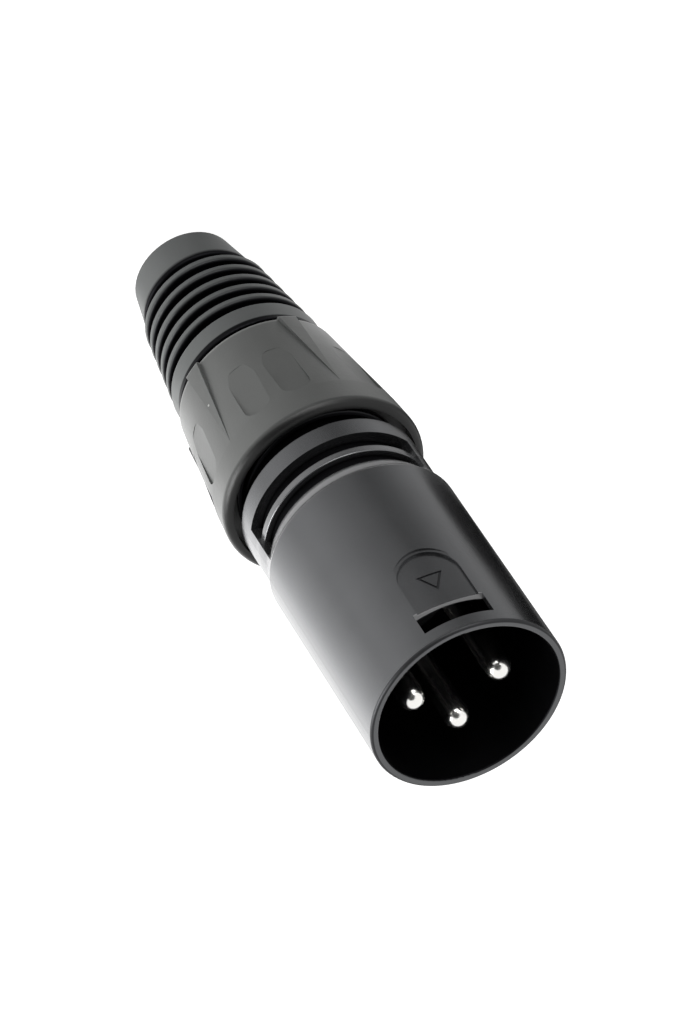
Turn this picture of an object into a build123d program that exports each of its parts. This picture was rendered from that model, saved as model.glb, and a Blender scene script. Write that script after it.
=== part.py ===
from build123d import *
import math
import os

# A round three-pin cable plug with a latch slot, for microphone leads.
# It stands on the end of its rubber boot, with the open mating face up.
# The origin is the middle of the boot's end face and +Z is the plug's axis.
# The latch slot faces -Y. All sizes are in millimetres.

# barrel, the part of the housing that goes into a socket
BARREL_R = 9.5
BARREL_WALL = 0.75
BARREL_LENGTH = 22.5
RIM_ROUND = 0.3
RIM_BREAK = 0.2
CAVITY_DEPTH = 16.5
LEDGE_THICKNESS = 1.0
LEDGE_LAP = 0.6

# latch slot in the barrel, with an arched thumb recess behind it, whose floor is flatter than the barrel
SLOT_FROM_RIM = 1.5
SLOT_LENGTH = 2.4
SLOT_WIDTH = 6.6
RECESS_END_FROM_RIM = 10.9
RECESS_FLOOR_R = 16.0
RECESS_DEPTH = 0.4
RECESS_STEP_WIDTH = 0.35
RECESS_STEP_DEPTH = 0.15

# triangle engraved in the recess as a thin line, pointing to the rim
MARK_TIP_FROM_RIM = 5.8
MARK_LENGTH = 2.15
MARK_WIDTH = 2.5
MARK_LINE = 0.22
MARK_DEPTH = 0.1

# neck of the housing, with two finger grooves that stop at a land on each side
BEVEL_LENGTH = 1.0
NECK_R = 9.0
GROOVE_LIP_LENGTH = 0.9
GROOVE_LIP_DROP = 0.4
FRONT_GROOVE_WIDTH = 1.5
GROOVE_DEPTH = 1.15
RIDGE_WIDTH = 0.8
RIDGE_DROP = 0.45
REAR_GROOVE_WIDTH = 1.3
BAND_WIDTH = 2.2
GROOVE_SPAN_DEG = 132.0
GROOVE_TURN_DEG = 15.3
EDGE_BREAK = 0.12

# threaded tail of the housing; the core is plain and leaves room for the thread
THREAD_CORE_R = 7.75
THREAD_LENGTH = 8.0
THREAD_ROOM = 0.4
THREAD_CHAMFER = 0.4
BORE_R = 6.85
KEYWAY_WIDTH = 2.2
KEYWAY_DEPTH = 0.4

# pin carrier
CARRIER_LENGTH = 6.0
CARRIER_FIT = 0.05
CARRIER_PROUD = 0.4
CARRIER_BREAK = 0.3
KEY_CLEARANCE = 0.15
KEY_LENGTH = 4.5

# contact pins with solder cups
PIN_R = 1.2
PIN_CIRCLE_R = 4.2
PIN_ANGLES_DEG = (0.0, 180.0, 90.0)
PIN_TIP_FROM_RIM = 2.0
PIN_FIT = 0.02
PIN_SHOULDER_R = 1.55
PIN_SHOULDER_SET_IN = 1.1
PIN_SHOULDER_TO_FACE = 0.9
PIN_COLLAR_R = 1.4
PIN_COLLAR_PROUD = 0.1
CUP_R = 1.4
CUP_BORE_R = 0.95
CUP_LENGTH = 4.9
CUP_BORE_DEPTH = 4.0
CUP_WINDOW_LENGTH = 2.6

# sprung strip that earths the housing
STRIP_THICKNESS = 0.35
STRIP_WIDTH = 3.0
STRIP_FIT = 0.05
TAG_FROM_AXIS = 4.8
TAG_LENGTH = 3.8
TAG_RISE = 3.0
TAG_HOLE_R = 0.75
CONTACT_LEG_LENGTH = 2.2

# cable clamp, a moulded sleeve with four gripping fingers
CLAMP_FIT = 0.1
CLAMP_WALL = 0.85
FINGER_COUNT = 4
FINGER_SLOT_WIDTH = 1.2
FINGER_LENGTH = 8.9
FINGER_INNER_R = 4.7
FINGER_TAPER_LENGTH = 3.2
FINGER_TIP_R = 5.9
FINGER_TIP_CLEARANCE = 0.4
TOOTH_COUNT = 4
TOOTH_PITCH = 1.5
TOOTH_HEIGHT = 0.5
TOOTH_FROM_TIP = 1.2
CLAMP_KEY_LENGTH = 8.0

# backshell nut
NUT_LENGTH = 15.3
NUT_FRONT_WALL = 2.05
NUT_REAR_R = 8.8
NUT_LIP_ROUND = 0.85
NUT_REAR_BREAK = 0.25
NUT_TO_BAND = 1.0
MOUTH_WALL = 0.95
MOUTH_DEPTH = 1.8
CONE_CLEARANCE = 0.3
PANEL_COUNT = 5
PANEL_DEPTH = 0.45
PANEL_RUN_OUT_FROM_FRONT = 3.6
WEDGE_WIDTH = 1.85
NUT_TURN_DEG = -74.7
PAD_WIDTH = 2.9
PAD_LENGTH = 7.2
PAD_CORNER_R = 1.2
PAD_FROM_FRONT = 3.6
PAD_OFFSET_DEG = 12.0
PAD_FRONT_DEPTH = 0.35
PAD_REAR_DEPTH = 0.04

# boot
SEAM = 0.9
COLLAR_LENGTH = 2.6
COLLAR_R = 7.85
RIB_COUNT = 5
RIB_PITCH = 1.94
RIB_WIDTH = 0.95
RIB_FIRST_R = 7.6
RIB_LAST_R = 6.6
RIB_ROUND = 0.3
RIB_GROOVE_DEPTH = 0.95
TAIL_LENGTH = 4.85
TAIL_FRONT_R = 6.1
TAIL_END_R = 5.2
TAIL_ROUND = 0.4
CABLE_BORE_R = 3.75
CABLE_BORE_LENGTH = 4.0
BOOT_INNER_R = 5.1
SPIGOT_R = 6.3
FLANGE_R = 6.9
FLANGE_THICKNESS = 1.2
BOOT_FIT = 0.1
NUT_REAR_WALL = 2.4

# a length that reaches past every face it has to cut
OVER = 3.0

# heights above the boot's end, from the bottom up
GROOVE_WIDTH = RIB_PITCH - RIB_WIDTH
Z_COLLAR = TAIL_LENGTH + RIB_COUNT * RIB_PITCH + GROOVE_WIDTH
Z_COLLAR_TOP = Z_COLLAR + COLLAR_LENGTH
Z_NUT = Z_COLLAR_TOP + SEAM
Z_NUT_TOP = Z_NUT + NUT_LENGTH
Z_SEAT = Z_NUT + NUT_REAR_WALL
Z_FLANGE_TOP = Z_SEAT + FLANGE_THICKNESS
Z_FINGER_TIP = Z_FLANGE_TOP + FINGER_TIP_CLEARANCE
Z_SLEEVE = Z_FINGER_TIP + FINGER_LENGTH
Z_BAND = Z_NUT_TOP + NUT_TO_BAND
Z_REAR_GROOVE = Z_BAND + BAND_WIDTH
Z_RIDGE = Z_REAR_GROOVE + REAR_GROOVE_WIDTH
Z_FRONT_GROOVE = Z_RIDGE + RIDGE_WIDTH
Z_GROOVE_LIP = Z_FRONT_GROOVE + FRONT_GROOVE_WIDTH
Z_BEVEL = Z_GROOVE_LIP + GROOVE_LIP_LENGTH
Z_BARREL = Z_BEVEL + BEVEL_LENGTH
Z_RIM = Z_BARREL + BARREL_LENGTH
Z_THREAD_END = Z_BAND - THREAD_LENGTH
Z_CAVITY = Z_RIM - CAVITY_DEPTH
Z_LEDGE = Z_CAVITY - LEDGE_THICKNESS
Z_CARRIER = Z_LEDGE - CARRIER_LENGTH
Z_FACE = Z_CAVITY + CARRIER_PROUD
Z_SHOULDER = Z_CARRIER + PIN_SHOULDER_SET_IN
Z_SHOULDER_TOP = Z_FACE - PIN_SHOULDER_TO_FACE
Z_PIN_COLLAR = Z_FACE + PIN_COLLAR_PROUD

# radii and angles that follow from the sizes above
CAVITY_R = BARREL_R - BARREL_WALL
LEDGE_R = BORE_R - LEDGE_LAP
KEYWAY_R = BORE_R + KEYWAY_DEPTH
KEY_R = KEYWAY_R - KEY_CLEARANCE
KEY_WIDTH = KEYWAY_WIDTH - 2 * KEY_CLEARANCE
LATCH_DEG = -90.0
GROOVE_MIDDLE_DEG = LATCH_DEG + GROOVE_TURN_DEG
KEYWAY_DEG = GROOVE_MIDDLE_DEG + 90.0
CARRIER_R = BORE_R - CARRIER_FIT
CLAMP_R = BORE_R - CLAMP_FIT
SLEEVE_INNER_R = CLAMP_R - CLAMP_WALL
NUT_BORE_R = THREAD_CORE_R + THREAD_ROOM
NUT_FRONT_R = NUT_BORE_R + NUT_FRONT_WALL


def turned(*outline):
    """Solid of revolution about the axis of a closed outline of (radius, height) points."""
    return revolve(make_face(Plane.XZ * Polyline(*outline, close=True)), Axis.Z)


def turned_rounded(outline, rounds):
    """Solid of revolution of an outline whose corners named in rounds, as point: radius, are rounded."""
    face = make_face(Plane.XZ * Polyline(*outline, close=True))
    for (radius, height), size in rounds.items():
        corner = face.vertices().sort_by_distance((radius, 0, height))[0]
        face = fillet(corner, size)
    return revolve(face, Axis.Z)


def rod(radius, bottom, top):
    """Plain round bar on the axis."""
    return turned((0, bottom), (radius, bottom), (radius, top), (0, top))


def bar(width, depth_from, depth_to, bottom, top, angle):
    """Box that lies across the radius at an angle about the axis, from one distance to another."""
    box = Box(depth_to - depth_from, width, top - bottom)
    box = Pos((depth_from + depth_to) / 2, 0, (bottom + top) / 2) * box
    return Rot(0, 0, angle) * box


def housing_blank():
    """Barrel, neck and threaded tail, bored through, before its slots and grooves."""
    outline = [
        (CAVITY_R, Z_CAVITY), (CAVITY_R, Z_RIM), (BARREL_R, Z_RIM), (BARREL_R, Z_BARREL),
        (NECK_R, Z_BEVEL), (NECK_R, Z_BAND), (THREAD_CORE_R, Z_BAND),
        (THREAD_CORE_R, Z_THREAD_END + THREAD_CHAMFER), (THREAD_CORE_R - THREAD_CHAMFER, Z_THREAD_END),
        (BORE_R, Z_THREAD_END), (BORE_R, Z_LEDGE), (LEDGE_R, Z_LEDGE), (LEDGE_R, Z_CAVITY),
    ]
    rounds = {(BARREL_R, Z_RIM): RIM_ROUND, (CAVITY_R, Z_RIM): RIM_BREAK,
              (BARREL_R, Z_BARREL): RIM_ROUND, (NECK_R, Z_BAND): RIM_BREAK}
    return turned_rounded(outline, rounds)


def neck_grooves():
    """One side's pair of finger grooves with the lower ridge between them, as a cutter."""
    floor_r = NECK_R - GROOVE_DEPTH
    ridge_r = NECK_R - RIDGE_DROP
    lip_r = NECK_R - GROOVE_LIP_DROP
    outside = NECK_R + OVER
    outline = [
        (outside, Z_REAR_GROOVE), (floor_r, Z_REAR_GROOVE), (floor_r, Z_RIDGE), (ridge_r, Z_RIDGE),
        (ridge_r, Z_FRONT_GROOVE), (floor_r, Z_FRONT_GROOVE), (floor_r, Z_GROOVE_LIP),
        (lip_r, Z_GROOVE_LIP), (NECK_R, Z_BEVEL), (outside, Z_BEVEL),
    ]
    face = make_face(Plane.XZ * Polyline(*outline, close=True))
    for radius, height in ((ridge_r, Z_RIDGE), (ridge_r, Z_FRONT_GROOVE), (lip_r, Z_GROOVE_LIP)):
        corner = face.vertices().sort_by_distance((radius, 0, height))[0]
        face = fillet(corner, EDGE_BREAK)
    cutter = revolve(face, Axis.Z, revolution_arc=GROOVE_SPAN_DEG)
    return Rot(0, 0, -GROOVE_SPAN_DEG / 2) * cutter


def sunk(outline, depth):
    """Cutter from an outline on the latch side down to a floor flatter than the barrel."""
    prism = extrude(Plane.XZ * outline, BARREL_R + OVER)
    floor = Pos(0, RECESS_FLOOR_R - BARREL_R + depth, 0) * rod(RECESS_FLOOR_R, Z_BARREL - OVER, Z_RIM)
    return prism - floor


def arch(half_width, top, end):
    """Outline of a recess that is open at the top and round at its lower end."""
    middle = end + half_width
    straight = Pos(0, (top + middle) / 2) * Rectangle(2 * half_width, top - middle)
    return straight + Pos(0, middle) * Circle(half_width)


def mark():
    """Thin line round a triangle that points to the rim."""
    tip = Z_RIM - MARK_TIP_FROM_RIM
    base = tip - MARK_LENGTH
    half = MARK_WIDTH / 2
    triangle = make_face(Polyline((-half, base), (half, base), (0, tip), close=True))
    return triangle - offset(triangle, -MARK_LINE)


def latch_cut():
    """Through slot for a socket's latch, and the stepped thumb recess behind it."""
    slot_top = Z_RIM - SLOT_FROM_RIM
    slot_bottom = slot_top - SLOT_LENGTH
    recess_end = Z_RIM - RECESS_END_FROM_RIM
    half = SLOT_WIDTH / 2
    slot = bar(SLOT_WIDTH, CAVITY_R - OVER, BARREL_R + OVER, slot_bottom, slot_top, LATCH_DEG)
    step = sunk(arch(half, slot_top, recess_end), RECESS_STEP_DEPTH)
    inner = arch(half - RECESS_STEP_WIDTH, slot_top, recess_end + RECESS_STEP_WIDTH)
    return slot + step + sunk(inner, RECESS_DEPTH) + sunk(mark(), RECESS_DEPTH + MARK_DEPTH)


def make_housing():
    """Die-cast shell: barrel, neck and threaded tail in one piece."""
    body = housing_blank()
    for side in (0, 180):
        body -= Rot(0, 0, GROOVE_MIDDLE_DEG + side) * neck_grooves()
    body -= latch_cut()
    body -= bar(KEYWAY_WIDTH, 0, KEYWAY_R, Z_THREAD_END - OVER, Z_LEDGE, KEYWAY_DEG)
    return body


def strip_space(fit):
    """The earth strip's three legs, as boxes grown by a fit on every side."""
    tag_inner = TAG_FROM_AXIS - fit
    tag_outer = TAG_FROM_AXIS + STRIP_THICKNESS + fit
    bend = Z_CARRIER + TAG_RISE
    leg_outer = CARRIER_R - CARRIER_FIT
    leg_inner = leg_outer - STRIP_THICKNESS - fit
    wide = STRIP_WIDTH + 2 * fit
    tag = bar(wide, tag_inner, tag_outer, Z_CARRIER - TAG_LENGTH, bend + fit, LATCH_DEG)
    cross = bar(wide, tag_inner, leg_outer + fit, bend - STRIP_THICKNESS - fit, bend + fit, LATCH_DEG)
    leg = bar(wide, leg_inner, leg_outer + fit, bend - fit, bend + CONTACT_LEG_LENGTH + fit, LATCH_DEG)
    return tag + cross + leg


def make_ground_contact():
    """Folded strip from a solder tag behind the carrier to a leg against the housing's bore."""
    strip = strip_space(0.0) & rod(CARRIER_R, 0, Z_RIM)
    hole = Rot(0, 90, 0) * Cylinder(TAG_HOLE_R, OVER)
    hole = Pos(TAG_FROM_AXIS, 0, Z_CARRIER - TAG_LENGTH + STRIP_WIDTH / 2) * hole
    return strip - Rot(0, 0, LATCH_DEG) * hole


def make_insert():
    """Moulded pin carrier with a raised face, a key and seats for the pins and the earth strip."""
    boss_r = LEDGE_R - CARRIER_FIT
    outline = [
        (0, Z_CARRIER), (CARRIER_R, Z_CARRIER), (CARRIER_R, Z_LEDGE), (boss_r, Z_LEDGE),
        (boss_r, Z_FACE), (0, Z_FACE),
    ]
    body = turned_rounded(outline, {(boss_r, Z_FACE): CARRIER_BREAK})
    body += bar(KEY_WIDTH, PIN_CIRCLE_R, KEY_R, Z_CARRIER, Z_CARRIER + KEY_LENGTH, KEYWAY_DEG)
    for angle in PIN_ANGLES_DEG:
        place = Rot(0, 0, angle) * Pos(PIN_CIRCLE_R, 0, 0)
        body -= place * rod(PIN_COLLAR_R + PIN_FIT, Z_CARRIER - OVER, Z_FACE + OVER)
        body -= place * rod(PIN_SHOULDER_R + PIN_FIT, Z_CARRIER - OVER, Z_SHOULDER_TOP + PIN_FIT)
    return body - strip_space(STRIP_FIT)


def make_pin(angle):
    """Turned contact: domed pin, collar, shoulder held in the carrier, and an open solder cup."""
    tip = Z_RIM - PIN_TIP_FROM_RIM
    cup_end = Z_CARRIER - CUP_LENGTH
    shank = turned(
        (0, cup_end), (CUP_R, cup_end), (CUP_R, Z_SHOULDER), (PIN_SHOULDER_R, Z_SHOULDER),
        (PIN_SHOULDER_R, Z_SHOULDER_TOP), (PIN_COLLAR_R, Z_SHOULDER_TOP), (PIN_COLLAR_R, Z_PIN_COLLAR),
        (PIN_R, Z_PIN_COLLAR), (PIN_R, tip - PIN_R), (0, tip - PIN_R),
    )
    dome = Pos(0, 0, tip - PIN_R) * Sphere(PIN_R)
    body = shank + dome
    body -= rod(CUP_BORE_R, cup_end - OVER, cup_end + CUP_BORE_DEPTH)
    body -= bar(2 * CUP_R + OVER, 0, CUP_R + OVER, cup_end - OVER, cup_end + CUP_WINDOW_LENGTH, 0)
    return Rot(0, 0, angle) * (Pos(PIN_CIRCLE_R, 0, 0) * body)


def make_cable_clamp():
    """Keyed sleeve that pushes on the pin carrier, with four tapered fingers that grip the cable."""
    taper = Z_FINGER_TIP + FINGER_TAPER_LENGTH
    body = turned(
        (FINGER_INNER_R, Z_FINGER_TIP), (FINGER_TIP_R, Z_FINGER_TIP), (CLAMP_R, taper),
        (CLAMP_R, Z_CARRIER), (SLEEVE_INNER_R, Z_CARRIER), (SLEEVE_INNER_R, Z_SLEEVE),
        (FINGER_INNER_R, Z_SLEEVE),
    )
    for i in range(TOOTH_COUNT):
        low = Z_FINGER_TIP + TOOTH_FROM_TIP + i * TOOTH_PITCH
        high = low + TOOTH_HEIGHT
        body += turned((FINGER_INNER_R, low), (FINGER_INNER_R, high), (FINGER_INNER_R - TOOTH_HEIGHT, low))
    key_from = SLEEVE_INNER_R + CLAMP_WALL / 2
    body += bar(KEY_WIDTH, key_from, KEY_R, Z_CARRIER - CLAMP_KEY_LENGTH, Z_CARRIER, KEYWAY_DEG)
    for i in range(FINGER_COUNT):
        angle = KEYWAY_DEG + (i + 0.5) * 360 / FINGER_COUNT
        body -= bar(FINGER_SLOT_WIDTH, 0, CLAMP_R + OVER, Z_FINGER_TIP - OVER, Z_SLEEVE, angle)
    return body


def nut_cone(rear_r):
    """Outside of the nut as a solid cone with a rounded front corner and a broken rear edge."""
    outline = [(0, Z_NUT), (rear_r, Z_NUT), (NUT_FRONT_R, Z_NUT_TOP), (0, Z_NUT_TOP)]
    rounds = {(NUT_FRONT_R, Z_NUT_TOP): NUT_LIP_ROUND, (rear_r, Z_NUT): NUT_REAR_BREAK}
    return turned_rounded(outline, rounds)


def nut_panels():
    """Lowered skin between the grip wedges: full size at the front, lower towards the rear."""
    run_out = Z_NUT_TOP - PANEL_RUN_OUT_FROM_FRONT
    slope = (NUT_FRONT_R - NUT_REAR_R) / NUT_LENGTH
    run_out_r = NUT_REAR_R + slope * (run_out - Z_NUT)
    rear_r = NUT_REAR_R - PANEL_DEPTH
    outside = NUT_FRONT_R + OVER
    return turned((rear_r, Z_NUT), (outside, Z_NUT), (outside, run_out), (run_out_r, run_out))


def grip_wedge(angle):
    """Long triangle that points forwards, seen from outside, cut through the nut's wall."""
    run_out = Z_NUT_TOP - PANEL_RUN_OUT_FROM_FRONT
    half = WEDGE_WIDTH / 2
    triangle = make_face(Plane.YZ * Polyline((-half, Z_NUT), (half, Z_NUT), (0, run_out), close=True))
    return Rot(0, 0, angle) * extrude(triangle, NUT_FRONT_R + OVER)


def finger_pad(angle):
    """Shallow pad with round corners and a flat floor that runs out towards the rear, as a cutter."""
    front = Z_NUT_TOP - PAD_FROM_FRONT
    rear = front - PAD_LENGTH
    slope = (NUT_FRONT_R - NUT_REAR_R) / NUT_LENGTH
    front_r = NUT_REAR_R + slope * (front - Z_NUT) - PAD_FRONT_DEPTH
    panel_slope = PANEL_DEPTH / (NUT_LENGTH - PANEL_RUN_OUT_FROM_FRONT)
    rear_r = NUT_REAR_R + slope * (rear - Z_NUT) - panel_slope * PAD_LENGTH - PAD_REAR_DEPTH
    tilt = math.degrees(math.atan2(front_r - rear_r, PAD_LENGTH))
    outline = RectangleRounded(PAD_LENGTH, PAD_WIDTH, PAD_CORNER_R)
    pad = extrude(outline, OVER)
    place = Rot(0, 0, angle) * Pos((front_r + rear_r) / 2, 0, (front + rear) / 2)
    return place * (Rot(0, 90 + tilt, 0) * pad)


def nut_inside():
    """Mouth, thread room, closing cone, boot seat and rear hole of the nut, as one turned cutter."""
    mouth_r = NUT_FRONT_R - MOUTH_WALL
    mouth = Z_NUT_TOP - MOUTH_DEPTH
    taper = Z_FINGER_TIP + FINGER_TAPER_LENGTH
    cone_r = CLAMP_R + CONE_CLEARANCE
    tip_r = FINGER_TIP_R + CONE_CLEARANCE
    seat_top = Z_FLANGE_TOP + BOOT_FIT
    seat_r = FLANGE_R + BOOT_FIT
    hole_r = SPIGOT_R + BOOT_FIT
    return turned(
        (0, Z_NUT - OVER), (hole_r, Z_NUT - OVER), (hole_r, Z_SEAT), (seat_r, Z_SEAT),
        (seat_r, seat_top), (tip_r, seat_top), (tip_r, Z_FINGER_TIP), (cone_r, taper),
        (NUT_BORE_R, taper + NUT_BORE_R - cone_r), (NUT_BORE_R, mouth), (mouth_r, mouth),
        (mouth_r, Z_NUT_TOP + OVER), (0, Z_NUT_TOP + OVER),
    )


def make_backshell():
    """Screwed plastic nut with five grip panels, two pads on each, and a wedge between them."""
    full = nut_cone(NUT_REAR_R)
    body = full - nut_panels()
    step = 360 / PANEL_COUNT
    for i in range(PANEL_COUNT):
        middle = NUT_TURN_DEG + i * step
        body += full & grip_wedge(middle + step / 2)
        for side in (-1, 1):
            body -= finger_pad(middle + side * PAD_OFFSET_DEG)
    return body - nut_inside()


def rib_radius(index):
    """Outer radius of a rib, counted from the collar."""
    return RIB_FIRST_R + (RIB_LAST_R - RIB_FIRST_R) * index / (RIB_COUNT - 1)


def boot_outline():
    """Outer line of the boot from the end face up to the flange, and the corners to round."""
    points = [(TAIL_END_R, 0), (TAIL_FRONT_R, TAIL_LENGTH)]
    rounds = {(TAIL_END_R, 0): TAIL_ROUND, (TAIL_FRONT_R, TAIL_LENGTH): RIB_ROUND}
    for i in reversed(range(RIB_COUNT)):
        low = Z_COLLAR - (i + 1) * RIB_PITCH
        radius = rib_radius(i)
        floor = radius - RIB_GROOVE_DEPTH
        points += [(floor, low - GROOVE_WIDTH), (floor, low), (radius, low), (radius, low + RIB_WIDTH)]
        rounds[(radius, low)] = RIB_ROUND
        rounds[(radius, low + RIB_WIDTH)] = RIB_ROUND
    floor = RIB_FIRST_R - RIB_GROOVE_DEPTH
    points += [
        (floor, Z_COLLAR - GROOVE_WIDTH), (floor, Z_COLLAR), (COLLAR_R, Z_COLLAR), (COLLAR_R, Z_COLLAR_TOP),
        (SPIGOT_R, Z_COLLAR_TOP), (SPIGOT_R, Z_SEAT), (FLANGE_R, Z_SEAT), (FLANGE_R, Z_FLANGE_TOP),
    ]
    rounds[(COLLAR_R, Z_COLLAR)] = RIB_ROUND
    rounds[(COLLAR_R, Z_COLLAR_TOP)] = EDGE_BREAK
    return points, rounds


def make_boot():
    """Ribbed rubber boot, hollow for the cable, held behind the nut's rear wall by a flange."""
    points, rounds = boot_outline()
    inside = [
        (BOOT_INNER_R, Z_FLANGE_TOP), (BOOT_INNER_R, Z_COLLAR_TOP),
        (CABLE_BORE_R, CABLE_BORE_LENGTH), (CABLE_BORE_R, 0),
    ]
    return turned_rounded(points + inside, rounds)


def save(name, shape):
    """Writes one node as its own file."""
    export_step(shape, os.path.join("parts", name + ".step"))


def main():
    os.makedirs("parts", exist_ok=True)
    save("housing", make_housing())
    save("insert", make_insert())
    for i, angle in enumerate(PIN_ANGLES_DEG):
        save("pin_" + str(i + 1), make_pin(angle))
    save("ground_contact", make_ground_contact())
    save("cable_clamp", make_cable_clamp())
    save("backshell", make_backshell())
    save("boot", make_boot())


main()
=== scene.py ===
import math

import bpy
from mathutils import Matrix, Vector


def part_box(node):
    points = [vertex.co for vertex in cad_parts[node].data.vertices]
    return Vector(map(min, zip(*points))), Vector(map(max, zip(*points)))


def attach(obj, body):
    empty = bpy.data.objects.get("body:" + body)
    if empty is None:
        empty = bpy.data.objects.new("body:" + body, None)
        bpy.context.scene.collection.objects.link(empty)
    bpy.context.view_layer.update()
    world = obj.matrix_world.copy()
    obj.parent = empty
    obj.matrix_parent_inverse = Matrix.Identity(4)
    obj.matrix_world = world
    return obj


bl_info = {
    "name": "Round Cable Plug",
    "version": (1, 0, 0),
    "blender": (4, 5, 0),
    "location": "View3D > Sidebar > Plug",
    "description": "Finishes, threads and studio for a round three-pin cable plug",
    "category": "Object",
}

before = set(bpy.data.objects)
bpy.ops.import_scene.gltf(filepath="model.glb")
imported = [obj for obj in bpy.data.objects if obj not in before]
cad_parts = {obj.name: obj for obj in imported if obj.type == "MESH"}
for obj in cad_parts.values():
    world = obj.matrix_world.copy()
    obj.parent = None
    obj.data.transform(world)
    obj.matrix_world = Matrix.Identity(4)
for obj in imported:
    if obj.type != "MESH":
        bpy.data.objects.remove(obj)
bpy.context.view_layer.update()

MM = 0.001

# ends of the pieces along the axis, in metres
THREAD_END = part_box("housing")[0].z
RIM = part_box("housing")[1].z
NUT_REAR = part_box("backshell")[0].z
NUT_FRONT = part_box("backshell")[1].z
BOOT_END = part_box("boot")[0].z

# The finishes count in millimetres, heights along the axis and radii from it.
# A pair of places says where a mask begins and where it is full.

# housing
GROOVE_LIP = RIM / MM - 23.4
RIDGE = RIM / MM - 26.3
SLOT_REAR = RIM / MM - 3.9
SLOT_HALF = 3.3
# housing, spans of the painted shade: the rim's outer edge and face, the cavity, the grooves' floors and the
# engraved mark
RIM_SIDE = (RIM / MM - 0.36, RIM / MM - 0.28)
RIM_EDGE = (9.22, 9.3)
RIM_FACE = (RIM / MM - 0.03, RIM / MM - 0.01)
CAVITY_END = RIM / MM - 17.5
CAVITY_WALL = (8.86, 8.8)
GROOVE_FLOORS = (8.4, 7.9)
RECESS_RADIUS = 16.0
RECESS_MIDDLE = 6.9
MARK_TOP = RIM / MM - 5.6
MARK_END = RIM / MM - 8.2
MARK_HALF = 1.5
MARK_LINE = (RECESS_RADIUS - 0.02, RECESS_RADIUS - 0.06)

# backshell
# spans of the painted shade in the nut's mouth, of the painted highlight on its back edge and of the painted
# shade in its bore
NUT_MOUTH = (NUT_FRONT / MM - 1.0, NUT_FRONT / MM - 0.45)
NUT_REAR_EDGE = (NUT_REAR / MM + 0.3, NUT_REAR / MM + 0.1)
NUT_INSIDE = (8.3, 8.2)

# boot, with painted shade in the grooves between the ribs and in the seam, and the two ends of the groove
# after a rib as shares of the pitch
FIRST_RIB = BOOT_END / MM + 5.84
RIB_PITCH = 1.94
RIB_FALL = (0.27, 0.45)
RIB_RISE = (1.0, 0.95)
CAP_EDGE = (BOOT_END / MM + 4.1, BOOT_END / MM + 4.5)
COLLAR = BOOT_END / MM + 15.54
SEAM = (BOOT_END / MM + 17.52, BOOT_END / MM + 17.66)

# how full each mask of the housing and the backshell gets
RIDGE_PALER = 0.25
SLOT_WEAR_AND_HIGHLIGHT = 0.7
RIM_EDGE_SHADE = 0.78
RIM_FACE_SHADE = 0.04
MARK_SHADE = 0.75
NUT_MOUTH_SHADE = 0.93
NUT_REAR_HIGHLIGHT = 0.3

# lacquer: how metallic it is whole and where its wear and painted light are full, and how much rougher its
# streaks, its painted shade and its patches make it
LACQUER_METAL = 0.9
WEAR_AND_PAINTED_LIGHT_METAL = 0.02
STREAK_ROUGH = 0.1
SHADE_ROUGH = 0.25
PATCH_ROUGH = 0.05

# plain colours
WHITE = (1.0, 1.0, 1.0, 1.0)
# black of the painted shade in the housing's and the boot's hollows
SHADE_BLACK = (0.008, 0.008, 0.009, 1.0)
NUT_SHADE = (0.026, 0.026, 0.026, 1.0)
# pale grey of the nut's dust specks and of the painted highlight on its back edge
NUT_SPECK_AND_HIGHLIGHT = (0.4, 0.4, 0.39, 1.0)
BOOT_SPECK = (0.3, 0.3, 0.29, 1.0)

# shared effects: the part of a noise that the finishes use, how much finer and weaker the second layer of
# the grain is, how fine a ring's ragged edge is, and between which shares of the ring's width it fades
NOISE_SPAN = (0.3, 0.7)
FINE_RATIO = 3.1
FINE_SHARE = 0.35
RAGGED_SCALE = 1.7
RING_EDGE = (1.0, 0.35)

# threads, in pitches: half the width of a ridge at its root and at its crest, where the first turn begins,
# and how long the crest takes to sink into the wall
ROOT_HALF = 0.36
CREST_HALF = 0.12
THREAD_LEAD = 0.9
RUN_OUT = 1 / 6
# threads, in metres: how deep a root sits in its wall, how far from the wall a crest begins, how much lower
# the ridge in the bore is, and how far in it ends
ROOT_SUNK = 0.1 * MM
CREST_APART = 0.15 * MM
THREAD_PLAY = 0.05 * MM
PLAIN_LIP = 2.6 * MM
# threads: steps of one turn, and the angle from which an edge stays sharp
THREAD_STEPS = 72
THREAD_CORNER = math.radians(35)

# studio: sizes and places in metres, and the grey and the glow of the floor's paper
FLOOR_SIZE = 6.0
FLOOR_GAP = 0.00002
PAPER_GREY = 0.8
PAPER_GLOW = 0.9
AIM = (0.0, 0.0, 0.035)
LAMP_SIZE = 0.3
SIDE_LAMP_PLACE = (0.4, 0.03, 0.07)
FRONT_LAMP_PLACE = (-0.05, -0.42, 0.12)
CLIP = (0.02, 20.0)

# what the plug's sides mirror from the floor round it: bearing in degrees and level
DISC_RADIUS = 0.16
DISC_HEIGHT = 0.0001
FLOOR_LEVELS = (
    (-180.0, 0.6), (-162.0, 0.8), (-143.0, 0.62), (-125.0, 0.38), (-110.0, 0.27), (-87.0, 0.52), (-69.0, 0.65),
    (-50.0, 0.9), (-31.0, 1.1), (-13.0, 1.05), (6.0, 1.5), (25.0, 2.0), (44.0, 2.5), (63.0, 2.2), (82.0, 1.7),
    (102.0, 0.8), (121.0, 0.25), (140.0, 0.12), (160.0, 0.35), (180.0, 0.6),
)
LEVEL_TOP = 3.0

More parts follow.
